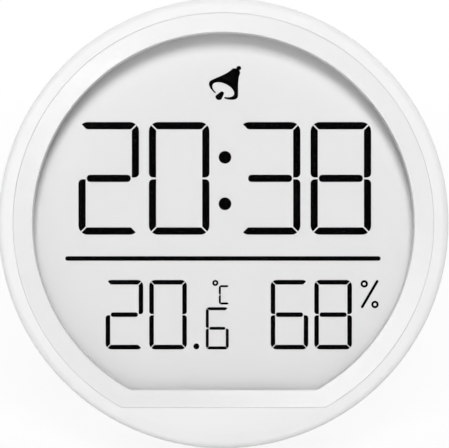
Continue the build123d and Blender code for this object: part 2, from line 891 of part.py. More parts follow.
with BuildPart() as contact_negative:
    with BuildSketch(across.offset(bay_end - contact_thickness)):
        add(contact_plate(cell_rises[1], plate_width))
        with Locations((cell_rises[1], -board_back)):
            Rectangle(tail_width, plate_front - board_back, align=(Align.CENTER, Align.MAX))
    extrude(amount=contact_thickness)
    with BuildSketch(section.offset(-cell_rises[1])):
        add(leaf_profile(1))
    extrude(amount=leaf_width / 2, both=True)
contact_negative.part.label = "contact_negative"
export_step(contact_negative.part, "parts/contact_negative.step")

with BuildPart() as contact_bridge:
    with BuildSketch(across.offset(-bay_end)):
        add(contact_plate(bay_rise, plate_width + cell_pitch))
    extrude(amount=contact_thickness)
    with BuildSketch(section.offset(-cell_rises[0])):
        add(leaf_profile(-1))
    extrude(amount=leaf_width / 2, both=True)
contact_bridge.part.label = "contact_bridge"
export_step(contact_bridge.part, "parts/contact_bridge.step")

# Stand leg: hinge barrel, plate with ribs inside and a tongue that carries the soft foot strip
pad_length = 3.6
tongue_run = 2.0
tongue_thickness = 0.8
rib_depth = 1.2
rib_width = 1.2
rib_corner = 1.0
rib_columns = 3
rib_rows = 2
pad_start = leg_length - pad_length
panel_start = barrel_radius + rib_width
panel_width = leg_width - 2 * tongue_run
panel_length = pad_start - tongue_run - rib_width - panel_start

with BuildPart() as stand_leg:
    with BuildSketch(leg_flat.offset(-leg_offset - leg_thickness / 2)):
        Rectangle(leg_width, pad_start, align=(Align.CENTER, Align.MIN))
    extrude(amount=leg_thickness)
    with BuildSketch(leg_side):
        Circle(barrel_radius)
    extrude(amount=leg_width / 2, both=True)
    with BuildSketch(leg_flat.offset(-leg_offset - tongue_thickness / 2)):
        with Locations((0, pad_start)):
            Rectangle(
                leg_width - 2 * tongue_run, 2 * tongue_run, align=(Align.CENTER, Align.CENTER)
            )
    extrude(amount=tongue_thickness)
    with BuildSketch(leg_flat.offset(leg_thickness / 2 - leg_offset)):
        with Locations((0, panel_start + panel_length / 2)):
            with GridLocations(
                panel_width / rib_columns, panel_length / rib_rows, rib_columns, rib_rows
            ):
                RectangleRounded(
                    panel_width / rib_columns - rib_width,
                    panel_length / rib_rows - rib_width,
                    rib_corner,
                )
    extrude(amount=-rib_depth, mode=Mode.SUBTRACT)
    with BuildSketch(leg_side):
        Circle(pin_radius + pin_gap + pin_gap)
    extrude(amount=leg_width / 2, both=True, mode=Mode.SUBTRACT)
stand_leg.part.label = "stand_leg"
export_step(stand_leg.part, "parts/stand_leg.step")

# Soft strip at the end of the leg, with a half-round tip on the table
with BuildPart() as stand_pad:
    with BuildSketch(leg_side):
        with Locations((tip_run, -leg_offset)):
            Circle(tip_radius)
        with Locations((pad_start, -leg_offset)):
            Rectangle(tip_run - pad_start, leg_thickness, align=(Align.MIN, Align.CENTER))
    extrude(amount=leg_width / 2, both=True)
    with BuildSketch(leg_flat.offset(-leg_offset - tongue_thickness / 2)):
        with Locations((0, pad_start)):
            Rectangle(
                leg_width - 2 * tongue_run, 2 * tongue_run, align=(Align.CENTER, Align.CENTER)
            )
    extrude(amount=tongue_thickness, mode=Mode.SUBTRACT)
stand_pad.part.label = "stand_pad"
export_step(stand_pad.part, "parts/stand_pad.step")

# Steel hinge pin held in the pocket's side walls
with BuildPart() as stand_pin:
    with BuildSketch(leg_side):
        Circle(pin_radius)
    extrude(amount=pocket_width / 2 + pin_grip, both=True)
stand_pin.part.label = "stand_pin"
export_step(stand_pin.part, "parts/stand_pin.step")
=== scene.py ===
"""Dresses the round desk clock: display signs, finishes, light, floor and camera."""

import json

import bpy
import numpy as np
from mathutils import Matrix, Vector


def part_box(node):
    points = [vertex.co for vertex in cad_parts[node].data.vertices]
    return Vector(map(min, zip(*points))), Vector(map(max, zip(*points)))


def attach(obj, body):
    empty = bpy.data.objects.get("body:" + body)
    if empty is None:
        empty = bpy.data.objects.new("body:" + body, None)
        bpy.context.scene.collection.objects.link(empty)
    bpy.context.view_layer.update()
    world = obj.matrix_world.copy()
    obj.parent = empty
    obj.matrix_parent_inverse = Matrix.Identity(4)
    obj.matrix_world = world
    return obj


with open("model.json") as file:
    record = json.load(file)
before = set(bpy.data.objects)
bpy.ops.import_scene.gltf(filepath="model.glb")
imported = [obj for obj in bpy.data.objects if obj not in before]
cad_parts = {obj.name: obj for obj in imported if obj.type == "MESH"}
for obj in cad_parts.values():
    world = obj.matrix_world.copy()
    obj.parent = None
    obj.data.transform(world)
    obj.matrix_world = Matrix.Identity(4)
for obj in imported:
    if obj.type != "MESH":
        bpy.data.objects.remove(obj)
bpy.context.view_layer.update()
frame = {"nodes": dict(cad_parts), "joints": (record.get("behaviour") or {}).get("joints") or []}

MM = 0.001
CASE = "case"

# Place of the leaning face, read from the frame: the board is a plain disc on the face's axle.
# Depths are taken behind the bezel's front.
BOARD_MIDDLE = 9.4 * MM
DISPLAY_DEPTH = 4.5 * MM

joints = {joint["name"]: joint for joint in frame["joints"]}
BACK = np.array(joints["door_lift"]["axis"], float)
BACK /= np.linalg.norm(BACK)
FRONT = -BACK
RIGHT = np.array([1.0, 0.0, 0.0])
UP = np.cross(FRONT, RIGHT)
low, high = (np.array(corner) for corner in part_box("main_board"))
FACE = (low + high) / 2 + FRONT * BOARD_MIDDLE


def on_face(points, depth):
    """Row positions of face points (right, up) in metres, at a depth behind the bezel's front."""
    points = np.asarray(points, float)
    return FACE + points[:, :1] * RIGHT + points[:, 1:2] * UP + depth * BACK


# Outlines on the face, each an array of points (right, up) measured from the face's centre


def arc(centre, radii, start, stop, count=12):
    """Points on an ellipse about a centre, from one angle in degrees to another."""
    angle = np.radians(np.linspace(start, stop, count))
    return np.column_stack(
        [centre[0] + radii[0] * np.cos(angle), centre[1] + radii[1] * np.sin(angle)]
    )


def disc(centre, radius, count):
    """Points round a whole circle, evenly spaced."""
    return arc(centre, (radius, radius), 0, 360 - 360 / count, count)


def strip(start, end, width):
    """Outline of a straight strip between two points, with round ends."""
    start, end = np.asarray(start, float), np.asarray(end, float)
    angle = np.degrees(np.arctan2(*(end - start)[::-1]))
    half = width / 2
    return np.vstack([
        arc(end, (half, half), angle - 90, angle + 90, count=10),
        arc(start, (half, half), angle + 90, angle + 270, count=10),
    ])


def counterclockwise(outline):
    """The outline, reversed where its signed area is negative."""
    x, y = outline[:, 0], outline[:, 1]
    area = np.sum(x * np.roll(y, -1) - np.roll(x, -1) * y)
    return outline if area > 0 else outline[::-1]


def new_object(name, vertices, faces):
    """Object at the origin, unturned and unscaled, with a mesh of these vertices and faces."""
    mesh = bpy.data.meshes.new(name)
    mesh.from_pydata(np.asarray(vertices, float).tolist(), [], faces)
    mesh.update()
    made = bpy.data.objects.new(name, mesh)
    bpy.context.scene.collection.objects.link(made)
    return made


def prisms(name, outlines, depth, thickness, body=CASE):
    """One piece of flat prisms: each outline at two depths, joined by a wall of quads."""
    vertices, faces, offset = [], [], 0
    for outline in outlines:
        outline = counterclockwise(np.asarray(outline, float))
        count = len(outline)
        vertices.append(on_face(outline, depth - thickness))
        vertices.append(on_face(outline, depth))
        ring = np.arange(count)
        after = np.roll(ring, -1)
        faces.append((offset + ring).tolist())
        faces.append((offset + count + ring[::-1]).tolist())
        walls = np.column_stack([ring, ring + count, after + count, after]) + offset
        faces.extend(walls.tolist())
        offset += 2 * count
    piece = new_object(name, np.vstack(vertices), faces)
    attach(piece, body)
    return piece


def ring_prism(name, centres, radii, depth, thickness, body=CASE, count=40):
    """One piece of flat rings: an outer and an inner circle at two depths, joined by quads."""
    angle = np.linspace(0, 2 * np.pi, count, endpoint=False)
    circle = np.column_stack([np.cos(angle), np.sin(angle)])
    outer, inner = radii
    front = depth - thickness
    loops = ((outer, front), (inner, front), (inner, depth), (outer, depth))
    vertices, faces = [], []
    ring = np.arange(count)
    after = np.roll(ring, -1)
    for number, centre in enumerate(centres):
        base = number * len(loops) * count
        for loop, (radius, place) in enumerate(loops):
            vertices.append(on_face(np.asarray(centre) + radius * circle, place))
            here, there = loop * count, (loop + 1) % len(loops) * count
            quads = np.column_stack([here + ring, here + after, there + after, there + ring])
            faces.extend((quads + base).tolist())
    piece = new_object(name, np.vstack(vertices), faces)
    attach(piece, body)
    return piece


# Seven bars of a digit. Shares are of the stroke's width.
CORNER_SHARE = 1.3
MITRE_GAP_SHARE = 0.18
MIDDLE_GAP_SHARE = 0.25
MIDDLE_ROUND_SHARE = 0.6
BAR_INSET_SHARE = 1.14
BARS_OF = {
    "0": "abcdef", "2": "abged", "3": "abgcd", "6": "afgecd", "8": "abcdefg", "C": "afed",
}


def bar(letter, width, height, stroke, mitre_gap):
    """Outline of one bar of a digit that stands at the origin, its middle at height zero.

    The top bar is a straight strip whose ends follow the digit's round corner down to a
    45 degree cut. The upper left bar runs from that cut to one round corner at the middle.
    The other bars mirror these two, and the middle bar is a strip with round ends.
    """
    radius = CORNER_SHARE * stroke
    cut = mitre_gap * stroke / np.sqrt(2)
    top = height / 2
    if letter == "g":
        inset, half = BAR_INSET_SHARE * stroke, stroke / 2
        left = arc((inset + half, 0), (half, half), 90, 270)
        right = arc((width - inset - half, 0), (half, half), 270, 450)
        return np.vstack([left, right])
    if letter in "ad":
        end = 45 + np.degrees(np.arccos(cut / (np.sqrt(2) * radius)))
        left = arc((radius, top - radius), (radius, radius), end, 90)
        right = left[::-1] * [-1, 1] + [width, 0]
        inner = np.array([
            [width - stroke - cut, top - stroke], [stroke + cut, top - stroke],
        ])
        outline = np.vstack([left, right, inner])
        return outline if letter == "a" else outline * [1, -1]
    start = 45 + np.degrees(np.arccos(-cut / (np.sqrt(2) * radius)))
    shoulder = arc((radius, top - radius), (radius, radius), start, 180)
    gap = MIDDLE_GAP_SHARE * stroke / 2
    turn = MIDDLE_ROUND_SHARE * stroke
    foot = arc((turn, gap + turn), (turn, turn), 180, 270)
    outline = np.vstack([shoulder, foot, [[stroke, gap], [stroke, top - stroke - cut]]])
    if letter in "bc":
        outline = outline * [-1, 1] + [width, 0]
    return outline if letter in "bf" else outline * [1, -1]


def digit(character, left, middle, width, height, stroke, mitre_gap=MITRE_GAP_SHARE):
    """Outlines of a character's bars, its left edge and its middle at the given place."""
    return [
        bar(letter, width, height, stroke, mitre_gap) + [left, middle]
        for letter in BARS_OF[character]
    ]


# Signs on the display, in millimetres from the face's centre
INK_THICKNESS = 0.03 * MM
INK_LIFT = 0.01 * MM
INK_DEPTH = DISPLAY_DEPTH - INK_LIFT
TIME_SIZE = {"middle": 9.04, "width": 12.22, "height": 22.70, "stroke": 1.46}
TIME_LEFTS = {"2": -29.23, "0": -15.03, "3": 3.30, "8": 17.57}
READING_SIZE = {"middle": -18.44, "width": 7.58, "height": 14.00, "stroke": 0.92}
TEMPERATURE_LEFTS = {"2": -23.75, "0": -14.95}
HUMIDITY_LEFTS = {"6": 9.53, "8": 18.33}
TENTH_SIZE = {"middle": -21.19, "width": 4.64, "height": 8.51, "stroke": 0.61, "mitre_gap": 0.1}
TENTH_LEFTS = {"6": -3.56}
LETTER_SIZE = {"middle": -14.44, "width": 2.16, "height": 3.90, "stroke": 0.42, "mitre_gap": 0.05}
LETTER_LEFTS = {"C": -0.93}
COLON_DOTS = ((0.32, 13.29), (0.32, 3.91))
COLON_RADIUS, COLON_POINTS = 1.28, 48
POINT_PLACE, POINT_RADIUS, POINT_POINTS = (-5.45, -24.83), 0.6, 36
DIVIDER_ENDS, DIVIDER_WIDTH = ((-31.45, -7.11), (31.25, -7.11)), 0.9
SLASH_ENDS, SLASH_WIDTH = ((31.0, -11.72), (27.98, -16.87)), 0.54
PERCENT_RINGS, PERCENT_RADII = ((28.40, -12.23), (30.56, -16.39)), (0.75, 0.31)
DEGREE_RINGS, DEGREE_RADII = ((-1.63, -12.04),), (0.61, 0.21)


def row_of(lefts, size):
    """Outlines of a row of characters of one size, by each character's left edge."""
    return [
        outline for character, left in lefts.items() for outline in digit(character, left, **size)
    ]


def display_sign(name, outlines):
    """Flat sign just in front of the display, from outlines in millimetres."""
    return prisms(name, [outline * MM for outline in outlines], INK_DEPTH, INK_THICKNESS)


def display_rings(name, centres, radii):
    """Flat rings just in front of the display, from sizes in millimetres."""
    return ring_prism(
        name, np.array(centres) * MM, np.array(radii) * MM, INK_DEPTH, INK_THICKNESS
    )


# Alarm bell, in millimetres, drawn upright about the middle of its mouth. Its mouth and its axis
# are then tilted apart. Gaps, tapers and turns are angles in degrees.
BELL_PLACE = (0.03, 26.95)
MOUTH_TILT, AXIS_TILT = 30.0, 34.6
MOUTH, MOUTH_SINK = (3.24, 1.55), 0.02
HOLE_PLACE, HOLE, HOLE_SLOPE = (-0.03, -0.07), (2.35, 1.26), 0.035
FLANK_START, FLANK_POINTS = 18.8, 15
FLANK_EASE, FLANK_POWER = 1.1, 1.45
SHOULDER = (0.93, 4.45)
DOME_HEIGHT, DOME_TURN = 0.5, (6, 62)
KNOB_PLACE, KNOB_RADIUS, KNOB_TURN = (0.08, 5.27), 0.48, (-50, 230)
LEFT_GAP, RIGHT_GAP = 16.5, 19.5
LEFT_TAPER, RIGHT_TAPER = 24.0, 27.5
CLAPPER_FOOT_PLACE, CLAPPER_FOOT = (0.08, -1.82), (0.68, 0.56)
CLAPPER_TOP_PLACE, CLAPPER_TOP = (0.15, -0.85), (0.43, 0.4)


def bell_outlines(place, mouth_tilt, axis_tilt, size=1.0):
    """Crown and clapper of a plain hand bell, about the middle of its mouth.

    The flank's half width falls from the rim to the shoulder as a power of one less a power of
    the share of its height. The rim is the band between two ellipses, open at the bottom, whose
    ends taper to a point. A flat dome and a round knob close the top, and the clapper is a drop
    that hangs through the opening. Widths lie along one tilted direction and heights along
    another.
    """
    rim_middle = (0, -MOUTH_SINK)
    right_rim = arc(rim_middle, MOUTH, RIGHT_GAP - 90, FLANK_START, count=20)
    left_rim = arc(rim_middle, MOUTH, 180 - FLANK_START, 270 - LEFT_GAP, count=20)
    foot_width, foot_height = right_rim[-1]
    share = np.linspace(0, 1, FLANK_POINTS + 1)[1:]
    narrowing = (1 - share**FLANK_EASE) ** FLANK_POWER
    flank = np.column_stack([
        SHOULDER[0] + (foot_width - SHOULDER[0]) * narrowing,
        foot_height + (SHOULDER[1] - foot_height) * share,
    ])
    dome = arc((0, SHOULDER[1]), (SHOULDER[0], DOME_HEIGHT), *DOME_TURN, count=8)
    knob = arc(KNOB_PLACE, (KNOB_RADIUS, KNOB_RADIUS), *KNOB_TURN, count=20)
    hole = arc(HOLE_PLACE, HOLE, 270 - LEFT_TAPER, RIGHT_TAPER - 90, count=48)
    hole[:, 1] += HOLE_SLOPE * hole[:, 0]
    right_side = np.vstack([flank, dome])
    left_side = right_side[::-1] * [-1, 1]
    crown = np.vstack([right_rim, right_side, knob, left_side, left_rim, hole])
    clapper = np.vstack([
        arc(CLAPPER_FOOT_PLACE, CLAPPER_FOOT, 180, 360, count=14),
        arc(CLAPPER_TOP_PLACE, CLAPPER_TOP, 0, 180),
    ])
    mouth, axis = np.radians(mouth_tilt), np.radians(axis_tilt)
    tilted = np.array([[np.cos(mouth), -np.sin(mouth)], [np.sin(axis), np.cos(axis)]]) * size
    return [outline @ tilted + place for outline in (crown, clapper)]


signs = [
    display_sign("time_digits", row_of(TIME_LEFTS, TIME_SIZE)),
    display_sign("temperature_digits", row_of(TEMPERATURE_LEFTS, READING_SIZE)),
    display_sign("humidity_digits", row_of(HUMIDITY_LEFTS, READING_SIZE)),
    display_sign("tenth_digit", row_of(TENTH_LEFTS, TENTH_SIZE)),
    display_sign("celsius_letter", row_of(LETTER_LEFTS, LETTER_SIZE)),
    display_sign("time_colon", [disc(dot, COLON_RADIUS, COLON_POINTS) for dot in COLON_DOTS]),
    display_sign("decimal_point", [disc(POINT_PLACE, POINT_RADIUS, POINT_POINTS)]),
    display_sign("divider_line", [strip(*DIVIDER_ENDS, DIVIDER_WIDTH)]),
    display_sign("percent_slash", [strip(*SLASH_ENDS, SLASH_WIDTH)]),
    display_rings("percent_rings", PERCENT_RINGS, PERCENT_RADII),
    display_rings("degree_ring", DEGREE_RINGS, DEGREE_RADII),
    display_sign("alarm_bell", bell_outlines(BELL_PLACE, MOUTH_TILT, AXIS_TILT)),
]

# Printed marks on the caps at the back and a moulded arrow on the door's tongue. The caps' and the
# door's outer faces are given by their depth. Places, reaches and widths are in millimetres.
CAP_FACE = 25.6 * MM
DOOR_FACE = 25.0 * MM
MARK_LIFT = 0.02 * MM
ARROW_LIFT = 0.12 * MM
MARK_REACH, MARK_STROKE = 1.15, 0.5
CAP_PLACES = {1: (-27.5, -9.0), 2: (-27.5, -20.0), 3: (27.5, -9.0), 4: (27.5, -20.0)}
DIAL_RADII = (1.25, 0.95)
HAND_REACH, HAND_WIDTH = 0.6, 0.28
BELL_DROP, BELL_SIZE = 0.55, 0.36
ARROW_CORNERS = ((-1.3, 22.6), (1.3, 22.6), (0.0, 20.8))


def cross(centre, reach, stroke):
    """Outline of a plus: its upper right arm's three corners turned by quarters."""
    half = stroke / 2
    arm = np.array([[reach, half], [half, half], [half, reach]])
    quarter = np.array([[0.0, 1.0], [-1.0, 0.0]])
    turns = [arm @ np.linalg.matrix_power(quarter, turn) for turn in range(4)]
    return np.vstack(turns) + centre


def cap_mark(name, number, outlines):
    """Flat printed mark on the outer face of one cap, from outlines in millimetres."""
    outlines = [outline * MM for outline in outlines]
    return prisms(name, outlines, CAP_FACE + MARK_LIFT, 2 * MARK_LIFT, f"button_{number}")


clock_place = np.array(CAP_PLACES[1])
bell_place = np.array(CAP_PLACES[2]) - [0.0, BELL_DROP]
minus_place = np.array(CAP_PLACES[4])
minus_reach = np.array([MARK_REACH - MARK_STROKE / 2, 0.0])
minus = strip(minus_place - minus_reach, minus_place + minus_reach, MARK_STROKE)
marks = [
    ring_prism(
        "clock_mark_ring", [clock_place * MM], np.array(DIAL_RADII) * MM,
        CAP_FACE + MARK_LIFT, 2 * MARK_LIFT, "button_1",
    ),
    cap_mark(
        "clock_mark_hand", 1, [strip(clock_place, clock_place + [0.0, HAND_REACH], HAND_WIDTH)]
    ),
    cap_mark("bell_mark", 2, bell_outlines(bell_place, 0.0, 0.0, BELL_SIZE)),
    cap_mark("plus_mark", 3, [cross(CAP_PLACES[3], MARK_REACH, MARK_STROKE)]),
    cap_mark("minus_mark", 4, [minus]),
]
arrow = np.array(ARROW_CORNERS) * MM
door_arrow = prisms("door_arrow", [arrow], DOOR_FACE + ARROW_LIFT, 1.5 * ARROW_LIFT, "door")


# Makers of nodes, and the shader groups shared by several materials

# Sockets of a Mix node that mixes colours
FIRST_COLOUR, SECOND_COLOUR, MIXED_COLOUR = 6, 7, 2


def new_group(name, inputs, outputs):
    """Empty shader group with named float or vector sockets, its inputs with their values."""
    group = bpy.data.node_groups.new(name, "ShaderNodeTree")
    kinds = {"float": "NodeSocketFloat", "vector": "NodeSocketVector"}
    for label, kind, value in inputs:
        socket = group.interface.new_socket(label, in_out="INPUT", socket_type=kinds[kind])
        if value is not None:
            socket.default_value = value
    for label, kind in outputs:
        group.interface.new_socket(label, in_out="OUTPUT", socket_type=kinds[kind])
    nodes = group.nodes
    return group, nodes, nodes.new("NodeGroupInput").outputs, nodes.new("NodeGroupOutput").inputs


def node(nodes, kind, **values):
    """A node of a kind, with attributes or named input values set."""
    made = nodes.new(kind)
    for key, value in values.items():
        if hasattr(made, key):
            setattr(made, key, value)
        else:
            made.inputs[key.replace("_", " ")].default_value = value
    return made


def feed(links, value, socket):
    """Links another node's output to a socket, or sets the socket to a plain value."""
    if isinstance(value, bpy.types.NodeSocket):
        links.new(value, socket)
    else:
        socket.default_value = value


def noise(nodes, links, vector, scale, detail=2.0, rough=0.5):
    """Noise texture on given coordinates, its factor output returned."""
    texture = node(nodes, "ShaderNodeTexNoise", Detail=detail, Roughness=rough)
    links.new(vector, texture.inputs["Vector"])
    feed(links, scale, texture.inputs["Scale"])
    return texture.outputs["Fac"]


def remap(nodes, links, value, low_in, high_in, low_out=0.0, high_out=1.0):
    """Clamped linear map of a value."""
    made = node(nodes, "ShaderNodeMapRange")
    for index, number in enumerate((low_in, high_in, low_out, high_out), start=1):
        made.inputs[index].default_value = number
    links.new(value, made.inputs["Value"])
    return made.outputs["Result"]


def calc(nodes, links, operation, first, second=0.0):
    """Math node of one or two sockets or numbers."""
    made = node(nodes, "ShaderNodeMath", operation=operation)
    feed(links, first, made.inputs[0])
    feed(links, second, made.inputs[1])
    return made.outputs[0]


def dot_product(nodes, links, vector, other):
    """Dot product of a vector socket with another socket or with a fixed vector."""
    made = node(nodes, "ShaderNodeVectorMath", operation="DOT_PRODUCT")
    links.new(vector, made.inputs[0])
    feed(links, other, made.inputs[1])
    return made.outputs["Value"]


def mixed_colour(nodes, links, factor, first, second):
    """Colour between two by a factor, each of them a socket or a constant."""
    made = node(nodes, "ShaderNodeMix", data_type="RGBA")
    links.new(factor, made.inputs["Factor"])
    for index, colour in ((FIRST_COLOUR, first), (SECOND_COLOUR, second)):
        constant = not isinstance(colour, bpy.types.NodeSocket)
        feed(links, (*colour, 1.0) if constant else colour, made.inputs[index])
    return made.outputs[MIXED_COLOUR]


def bump_shader(nodes, links, shader, height, distance, strength=1.0, normal=None):
    """Bumps the shader's normal by a height, starting from another normal where one is given."""
    made = node(nodes, "ShaderNodeBump", Strength=strength, Distance=distance)
    links.new(height, made.inputs["Height"])
    if normal is not None:
        links.new(normal, made.inputs["Normal"])
    links.new(made.outputs["Normal"], shader.inputs["Normal"])


def seen_share(nodes, links):
    """One for the rays that show a thing itself: camera, glossy and transmission rays."""
    rays = node(nodes, "ShaderNodeLightPath").outputs
    seen = calc(nodes, links, "MAXIMUM", rays["Is Camera Ray"], rays["Is Glossy Ray"])
    return calc(nodes, links, "MAXIMUM", seen, rays["Is Transmission Ray"])


def grouped(nodes, group, **values):
    """A group placed in a material, with its own values."""
    made = nodes.new("ShaderNodeGroup")
    made.node_tree = group
    for key, value in values.items():
        made.inputs[key].default_value = value
    return made


# Values of a noise between which it turns from none to all, as most finishes use it
NOISE_LOW, NOISE_HIGH = 0.3, 0.7
MARKS_SCALE, MARKS_LOW, MARKS_HIGH = 420.0, 0.35, 0.75


def moulding_group():
    """Moulded plastic: fine spark grain, faint flow clouds and handling marks."""
    group, nodes, source, sink = new_group(
        "moulded_plastic",
        [("Vector", "vector", None), ("Grain", "float", 9000.0), ("Cloud", "float", 70.0)],
        [("Height", "float"), ("Tone", "float"), ("Polish", "float")],
    )
    links, place = group.links, source["Vector"]
    grain = noise(nodes, links, place, source["Grain"], detail=3.0, rough=0.6)
    clouds = noise(nodes, links, place, source["Cloud"], detail=4.0, rough=0.55)
    marks = noise(nodes, links, place, MARKS_SCALE, detail=6.0, rough=0.7)
    links.new(grain, sink["Height"])
    links.new(remap(nodes, links, clouds, NOISE_LOW, NOISE_HIGH), sink["Tone"])
    links.new(remap(nodes, links, marks, MARKS_LOW, MARKS_HIGH), sink["Polish"])
    return group


# Cosines of the angle between bevelled and plain normals where the edge mask starts and is full
EDGE_START, EDGE_FULL = 0.995, 0.9


def edge_group():
    """Mask that is one on outer edges, from the angle between bevelled and plain normals."""
    group, nodes, source, sink = new_group(
        "edge_wear", [("Bevelled", "vector", None), ("Amount", "float", 1.0)],
        [("Edge", "float")],
    )
    links = group.links
    plain = node(nodes, "ShaderNodeNewGeometry").outputs["Normal"]
    cosine = dot_product(nodes, links, source["Bevelled"], plain)
    edge = remap(nodes, links, cosine, EDGE_START, EDGE_FULL)
    links.new(calc(nodes, links, "MULTIPLY", edge, source["Amount"]), sink["Edge"])
    return group


def axle_group():
    """Distance from the face's axle: the length of the offset's right and up shares."""
    group, nodes, source, sink = new_group(
        "axle_distance", [("Vector", "vector", None)], [("Radius", "float")]
    )
    links = group.links
    offset = node(nodes, "ShaderNodeVectorMath", operation="SUBTRACT")
    links.new(source["Vector"], offset.inputs[0])
    offset.inputs[1].default_value = FACE
    squares = []
    for direction in (RIGHT, UP):
        share = dot_product(nodes, links, offset.outputs["Vector"], direction)
        squares.append(calc(nodes, links, "MULTIPLY", share, share))
    total = calc(nodes, links, "ADD", *squares)
    links.new(calc(nodes, links, "SQRT", total), sink["Radius"])
    return group


axle_distance = axle_group()
moulded_plastic = moulding_group()
edge_wear = edge_group()


def new_material(name):
    """Material with its Principled shader, nodes and links, and the object's coordinates."""
    material = bpy.data.materials.new(name)
    material.use_nodes = True
    nodes, links = material.node_tree.nodes, material.node_tree.links
    shader = nodes["Principled BSDF"]
    place = node(nodes, "ShaderNodeTexCoord").outputs["Object"]
    return material, shader, nodes, links, place


def grey(value):
    """Neutral colour."""
    return (value, value, value)


def scaled(colour, share):
    """Colour times a share, no channel above one."""
    return tuple(min(1.0, channel * share) for channel in colour)


# Finishes. Tones are a colour and a close second one, grain and other scales are per metre.
BEVEL_SAMPLES = 4
EDGE_POLISH = 0.12
EDGE_LIGHTENING = 1.04
PLASTIC_ROUGH_LOW, PLASTIC_ROUGH_HIGH = 0.9, 1.12
PLASTICS = {
    "case_white": {
        "tones": (grey(0.87), grey(0.855)), "roughness": 0.6, "grain": 7000.0,
        "bump": 0.004 * MM, "round_off": 0.06 * MM, "specular": 0.3,
    },
    "display_grey": {
        "tones": (grey(0.875), grey(0.865)), "roughness": 0.6, "grain": 12000.0,
        "bump": 0.001 * MM, "specular": 0.1, "edge": 0.0,
    },
    "button_grey": {
        "tones": ((0.62, 0.62, 0.63), (0.58, 0.58, 0.59)), "roughness": 0.5, "grain": 6000.0,
        "bump": 0.006 * MM,
    },
    "gasket_black": {
        "tones": (grey(0.02), grey(0.03)), "roughness": 0.8, "grain": 5000.0,
        "bump": 0.01 * MM,
    },
    "pad_grey": {
        "tones": ((0.42, 0.42, 0.43), (0.36, 0.36, 0.37)), "roughness": 0.75, "grain": 4000.0,
        "bump": 0.01 * MM,
    },
    "frame_white": {
        "tones": ((0.78, 0.78, 0.75), (0.74, 0.74, 0.71)), "roughness": 0.6, "grain": 5000.0,
        "bump": 0.006 * MM,
    },
    "part_black": {
        "tones": (grey(0.02), grey(0.035)), "roughness": 0.45, "grain": 5000.0,
        "bump": 0.004 * MM,
    },
    "board_green": {
        "tones": ((0.02, 0.16, 0.06), (0.015, 0.12, 0.05)), "roughness": 0.3, "grain": 3000.0,
        "bump": 0.004 * MM,
    },
    "print_grey": {
        "tones": (grey(0.09), grey(0.12)), "roughness": 0.6, "grain": 9000.0,
        "bump": 0.002 * MM,
    },
    "display_ink": {
        "tones": ((0.0002, 0.0002, 0.0003), grey(0.0008)), "roughness": 0.7, "grain": 9000.0,
        "bump": 0.0005 * MM, "specular": 0.005, "edge": 0.0,
    },
}


def plastic(name, tones, roughness, grain, bump, round_off=0.12 * MM, specular=0.5, edge=0.5):
    """Moulded plastic with two close tones, softened edges, grain and polish marks."""
    material, shader, nodes, links, place = new_material(name)
    mould = grouped(nodes, moulded_plastic, Grain=grain)
    links.new(place, mould.inputs["Vector"])
    bevel = node(nodes, "ShaderNodeBevel", samples=BEVEL_SAMPLES, Radius=round_off)
    wear = grouped(nodes, edge_wear, Amount=edge)
    links.new(bevel.outputs["Normal"], wear.inputs["Bevelled"])
    worn_edge = wear.outputs["Edge"]
    tone = mixed_colour(nodes, links, mould.outputs["Tone"], *tones)
    worn = mixed_colour(nodes, links, worn_edge, tone, scaled(tones[0], EDGE_LIGHTENING))
    links.new(worn, shader.inputs["Base Color"])
    rough = remap(
        nodes, links, mould.outputs["Polish"], 0.0, 1.0,
        roughness * PLASTIC_ROUGH_LOW, roughness * PLASTIC_ROUGH_HIGH,
    )
    polished = calc(nodes, links, "MULTIPLY", worn_edge, EDGE_POLISH)
    links.new(calc(nodes, links, "SUBTRACT", rough, polished), shader.inputs["Roughness"])
    bevelled = bevel.outputs["Normal"]
    bump_shader(nodes, links, shader, mould.outputs["Height"], bump, normal=bevelled)
    shader.inputs["Specular IOR Level"].default_value = specular
    return material


TURNED_PITCH = 0.16 * MM
TURNED_DEPTH = 0.018 * MM
TURNED_ROUND_OFF = 0.05 * MM
TURNED_GRAIN, TURNED_CLOUD, TURNED_UNEVEN = 9000.0, 50.0, 900.0
TURNED_GRAIN_SHARE = 0.25
TURNED_TONES = (grey(0.80), grey(0.79))
TURNED_ROUGH_LOW, TURNED_ROUGH_HIGH = 0.29, 0.33
TURNED_SPECULAR = 0.6


def turned_plastic(name):
    """Satin ring turned on a lathe: fine grooves about the face's axle, and moulded grain.

    The groove's height is a sine of the radius, and a slow noise along it keeps grooves uneven.
    """
    material, shader, nodes, links, place = new_material(name)
    where = grouped(nodes, axle_distance)
    links.new(place, where.inputs["Vector"])
    mould = grouped(nodes, moulded_plastic, Grain=TURNED_GRAIN, Cloud=TURNED_CLOUD)
    links.new(place, mould.inputs["Vector"])
    uneven = noise(nodes, links, place, TURNED_UNEVEN)
    turns = calc(nodes, links, "MULTIPLY", where.outputs["Radius"], 2 * np.pi / TURNED_PITCH)
    groove = calc(nodes, links, "SINE", calc(nodes, links, "ADD", turns, uneven))
    fine = calc(nodes, links, "MULTIPLY", mould.outputs["Height"], TURNED_GRAIN_SHARE)
    height = calc(nodes, links, "ADD", groove, fine)
    bevel = node(nodes, "ShaderNodeBevel", samples=BEVEL_SAMPLES, Radius=TURNED_ROUND_OFF)
    bevelled = bevel.outputs["Normal"]
    bump_shader(nodes, links, shader, height, TURNED_DEPTH / 2, normal=bevelled)
    tone = mixed_colour(nodes, links, mould.outputs["Tone"], *TURNED_TONES)
    links.new(tone, shader.inputs["Base Color"])
    rough = remap(
        nodes, links, mould.outputs["Polish"], 0.0, 1.0, TURNED_ROUGH_LOW, TURNED_ROUGH_HIGH
    )
    links.new(rough, shader.inputs["Roughness"])
    shader.inputs["Specular IOR Level"].default_value = TURNED_SPECULAR
    return material


